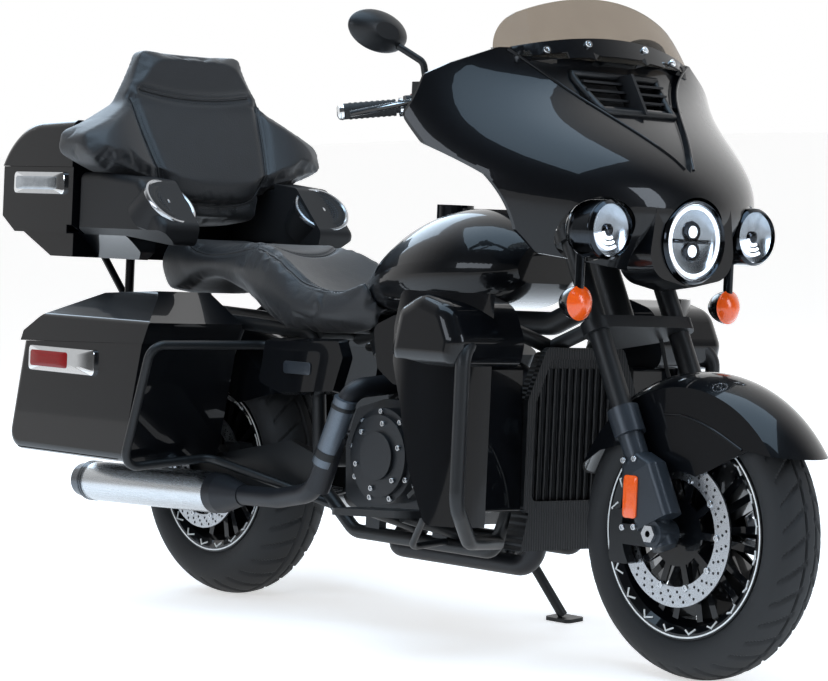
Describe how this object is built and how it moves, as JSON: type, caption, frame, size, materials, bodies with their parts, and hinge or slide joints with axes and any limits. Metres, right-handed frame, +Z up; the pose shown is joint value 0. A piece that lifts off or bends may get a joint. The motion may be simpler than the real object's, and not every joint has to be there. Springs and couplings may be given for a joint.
{
  "type": "touring motorcycle",
  "caption": "Black full-dress touring motorcycle with bar-mounted fairing, leg shields, saddlebags, top case and padded backrest, leaning on its side stand.",
  "frame": {"origin": "on the floor, under the middle of the bounding box of the parked machine", "axes": "+X forward, +Y to the rider's left, +Z up; the machine leans 5 degrees to +Y on its side stand"},
  "size_m": [2.6299, 1.0762, 1.4789],
  "materials": {
    "tyre": "matte",
    "gloss_black": "gloss",
    "rotor_steel": "brushed",
    "bright_steel": "brushed",
    "satin_grey": "satin",
    "satin_black": "satin",
    "dash_plastic": "matte",
    "smoked_glass": "gloss",
    "chrome": "mirror",
    "clear_glass": "gloss",
    "amber_lens": "gloss",
    "rubber": "matte",
    "gloss_plastic": "gloss",
    "engine_black": "satin",
    "radiator_black": "matte",
    "leather": "satin",
    "pipe_steel": "satin",
    "muffler_steel": "brushed",
    "red_lens": "gloss"
  },
  "bodies": {
    "chassis": {"air_cleaner": "gloss_black", "backrest": "leather", "cylinders": "engine_black", "drive_belt": "rubber", "engine_block": "engine_black", "exhaust_pipes": "pipe_steel", "floorboards": "satin_black", "frame": "satin_black", "fuel_tank": "gloss_black", "guards": "satin_black", "legshields": "gloss_black", "mufflers": "muffler_steel", "radiator": "radiator_black", "rear_axle": "bright_steel", "rear_caliper": "satin_black", "rear_fender": "gloss_black", "rear_lamps": "red_lens", "saddlebag_left": "gloss_black", "saddlebag_right": "gloss_black", "seat": "leather", "side_covers": "gloss_black", "speaker_pods": "dash_plastic", "swingarm": "satin_black", "tank_console": "gloss_plastic", "top_case": "gloss_black"},
    "steering": {"fork_sliders": "satin_grey", "fork_yokes": "satin_black", "front_axle": "bright_steel", "front_fender": "gloss_black", "front_calipers": "satin_black", "fairing_outer": "gloss_black", "fairing_inner": "dash_plastic", "vent_vanes": "dash_plastic", "windscreen": "smoked_glass", "front_lamps": "chrome", "lamp_glass": "clear_glass", "front_signals": "amber_lens", "handlebar": "satin_black", "grips": "rubber", "mirrors": "gloss_plastic", "brake_hoses": "rubber"},
    "front_wheel": {"front_rim": "gloss_black", "front_tyre": "tyre", "front_rotors": "rotor_steel"},
    "rear_wheel": {"rear_rim": "gloss_black", "rear_tyre": "tyre", "rear_rotor": "rotor_steel"},
    "side_stand": {"side_stand": "satin_black"},
    "top_case_lid": {"top_case_lid": "gloss_black"},
    "bag_lid_left": {"bag_lid_left": "gloss_black"},
    "bag_lid_right": {"bag_lid_right": "gloss_black"}
  },
  "joints": [
    {"name": "steering", "type": "hinge", "parent": "chassis", "child": "steering", "pos_m": [0.69159, -0.00873, 0.81363], "axis": [-0.454, 0.0777, 0.8876], "range_deg": [-30, 30]},
    {"name": "front_wheel_spin", "type": "hinge", "parent": "steering", "child": "front_wheel", "pos_m": [0.995, -0.05199, 0.31916], "axis": [0, 0.9962, -0.0872], "continuous": true},
    {"name": "rear_wheel_spin", "type": "hinge", "parent": "chassis", "child": "rear_wheel", "pos_m": [-0.655, -0.05199, 0.31916], "axis": [0, 0.9962, -0.0872], "continuous": true},
    {"name": "side_stand_fold", "type": "hinge", "parent": "chassis", "child": "side_stand", "pos_m": [0.207, 0.1231, 0.18639], "axis": [0.095, 0.8007, 0.5915], "range_deg": [0, 88]},
    {"name": "top_case_lid_hinge", "type": "hinge", "parent": "chassis", "child": "top_case_lid", "pos_m": [-1.135, 0.33866, 1.04387], "axis": [-1, 0, 0], "range_deg": [0, 75]},
    {"name": "bag_lid_left_hinge", "type": "hinge", "parent": "chassis", "child": "bag_lid_left", "pos_m": [-0.707, 0.43986, 0.59434], "axis": [-0.9994, -0.003, -0.0339], "range_deg": [0, 78]},
    {"name": "bag_lid_right_hinge", "type": "hinge", "parent": "chassis", "child": "bag_lid_right", "pos_m": [-0.707, -0.48859, 0.67557], "axis": [0.9994, 0.003, 0.0339], "range_deg": [0, 78]}
  ]
}
